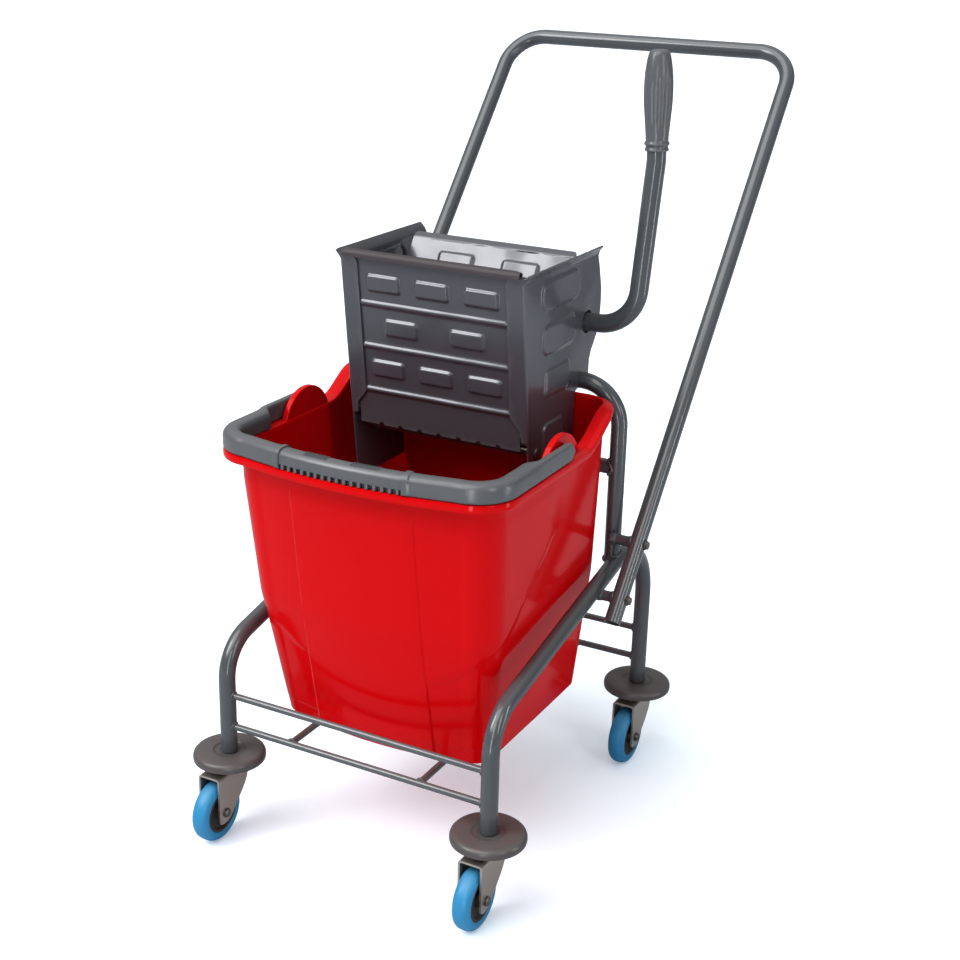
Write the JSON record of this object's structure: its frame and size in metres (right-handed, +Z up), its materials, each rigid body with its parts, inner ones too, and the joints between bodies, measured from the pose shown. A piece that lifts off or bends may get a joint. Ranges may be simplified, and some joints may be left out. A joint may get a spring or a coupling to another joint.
{
  "type": "mop bucket trolley with wringer",
  "caption": "Cleaning trolley: a bucket with a bail handle and a lever-operated press wringer, in a bent tube frame with a push handle and swivel castors.",
  "frame": {"origin": "on the floor, at the middle of the bottom of the bounding box", "axes": "+Z up, +Y to the rear where the push handle is, +X to the right side where the wringer lever is"},
  "size_m": [0.4446, 0.8434, 0.9193],
  "materials": {
    "frame": "satin powder coat",
    "wringer": "satin powder coat",
    "bucket": "moulded, glossy",
    "plastic": "moulded, fine texture",
    "bumper": "moulded, satin",
    "tyre": "moulded, satin",
    "hub": "moulded",
    "steel": "zinc plated",
    "bolt": "dark zinc plated"
  },
  "bodies": {
    "trolley": {"side_frame_left": "frame", "side_frame_right": "frame", "rear_arch": "frame", "arch_cross_tube": "frame", "front_rod_upper": "frame", "front_rod_lower": "frame", "rear_rod_upper": "frame", "rear_rod_lower": "frame", "floor_rod_left": "frame", "floor_rod_right": "frame", "push_handle": "frame", "handle_lug_lower_left": "frame", "handle_bolt_lower_left": "bolt", "handle_lug_lower_right": "frame", "handle_bolt_lower_right": "bolt", "handle_lug_upper_left": "frame", "handle_bolt_upper_left": "bolt", "handle_lug_upper_right": "frame", "handle_bolt_upper_right": "bolt", "bumper_disc_front_left": "bumper", "castor_stem_front_left": "steel", "bumper_disc_front_right": "bumper", "castor_stem_front_right": "steel", "bumper_disc_rear_left": "bumper", "castor_stem_rear_left": "steel", "bumper_disc_rear_right": "bumper", "castor_stem_rear_right": "steel"},
    "bucket": {"bucket_shell": "bucket"},
    "bail": {"bail_handle": "plastic"},
    "wringer": {"wringer_front_plate": "wringer", "wringer_side_left": "wringer", "wringer_side_right": "wringer", "press_pivot_rod": "bolt", "wringer_tie_rod": "bolt", "lever_bush_left": "hub", "lever_bush_right": "hub"},
    "press": {"press_plate": "wringer"},
    "lever": {"lever_tube": "frame", "lever_grip": "plastic", "lever_cam_left": "wringer", "lever_cam_right": "wringer"},
    "castor_front_left": {"castor_fork_front_left": "steel", "axle_front_left": "bolt"},
    "wheel_front_left": {"tyre_front_left": "tyre", "hub_front_left": "hub"},
    "castor_front_right": {"castor_fork_front_right": "steel", "axle_front_right": "bolt"},
    "wheel_front_right": {"tyre_front_right": "tyre", "hub_front_right": "hub"},
    "castor_rear_left": {"castor_fork_rear_left": "steel", "axle_rear_left": "bolt"},
    "wheel_rear_left": {"tyre_rear_left": "tyre", "hub_rear_left": "hub"},
    "castor_rear_right": {"castor_fork_rear_right": "steel", "axle_rear_right": "bolt"},
    "wheel_rear_right": {"tyre_rear_right": "tyre", "hub_rear_right": "hub"}
  },
  "joints": [
    {"name": "swivel_front_left", "type": "hinge", "parent": "trolley", "child": "castor_front_left", "pos_m": [-0.176, -0.3543, 0.09], "axis": [0, 0, 1], "continuous": true},
    {"name": "roll_front_left", "type": "hinge", "parent": "castor_front_left", "child": "wheel_front_left", "pos_m": [-0.176, -0.3843, 0.0375], "axis": [1, 0, 0], "continuous": true},
    {"name": "swivel_front_right", "type": "hinge", "parent": "trolley", "child": "castor_front_right", "pos_m": [0.176, -0.3543, 0.09], "axis": [0, 0, 1], "continuous": true},
    {"name": "roll_front_right", "type": "hinge", "parent": "castor_front_right", "child": "wheel_front_right", "pos_m": [0.176, -0.3843, 0.0375], "axis": [1, 0, 0], "continuous": true},
    {"name": "swivel_rear_left", "type": "hinge", "parent": "trolley", "child": "castor_rear_left", "pos_m": [-0.176, 0.0647, 0.09], "axis": [0, 0, 1], "continuous": true},
    {"name": "roll_rear_left", "type": "hinge", "parent": "castor_rear_left", "child": "wheel_rear_left", "pos_m": [-0.176, 0.0347, 0.0375], "axis": [1, 0, 0], "continuous": true},
    {"name": "swivel_rear_right", "type": "hinge", "parent": "trolley", "child": "castor_rear_right", "pos_m": [0.176, 0.0647, 0.09], "axis": [0, 0, 1], "continuous": true},
    {"name": "roll_rear_right", "type": "hinge", "parent": "castor_rear_right", "child": "wheel_rear_right", "pos_m": [0.176, 0.0347, 0.0375], "axis": [1, 0, 0], "continuous": true},
    {"name": "wringer_lift", "type": "slide", "parent": "trolley", "child": "wringer", "axis": [0, 0, 1], "range_m": [0, 0.45]},
    {"name": "bucket_lift", "type": "slide", "parent": "trolley", "child": "bucket", "axis": [0, 0, 1], "range_m": [0, 0.18]},
    {"name": "bail_raise", "type": "hinge", "parent": "bucket", "child": "bail", "pos_m": [0, -0.1948, 0.5005], "axis": [-1, 0, 0], "range_deg": [0, 60]},
    {"name": "lever_pull", "type": "hinge", "parent": "wringer", "child": "lever", "pos_m": [0, -0.0223, 0.6024], "axis": [1, 0, 0], "range_deg": [0, 70]},
    {"name": "press_close", "type": "hinge", "parent": "wringer", "child": "press", "pos_m": [0, -0.1488, 0.4744], "axis": [1, 0, 0], "range_deg": [0, 13.16]}
  ],
  "couplings": [
    {"joint": "bucket_lift", "follows": "wringer_lift", "ratio": 0.4},
    {"joint": "press_close", "follows": "lever_pull", "ratio": 0.188}
  ]
}
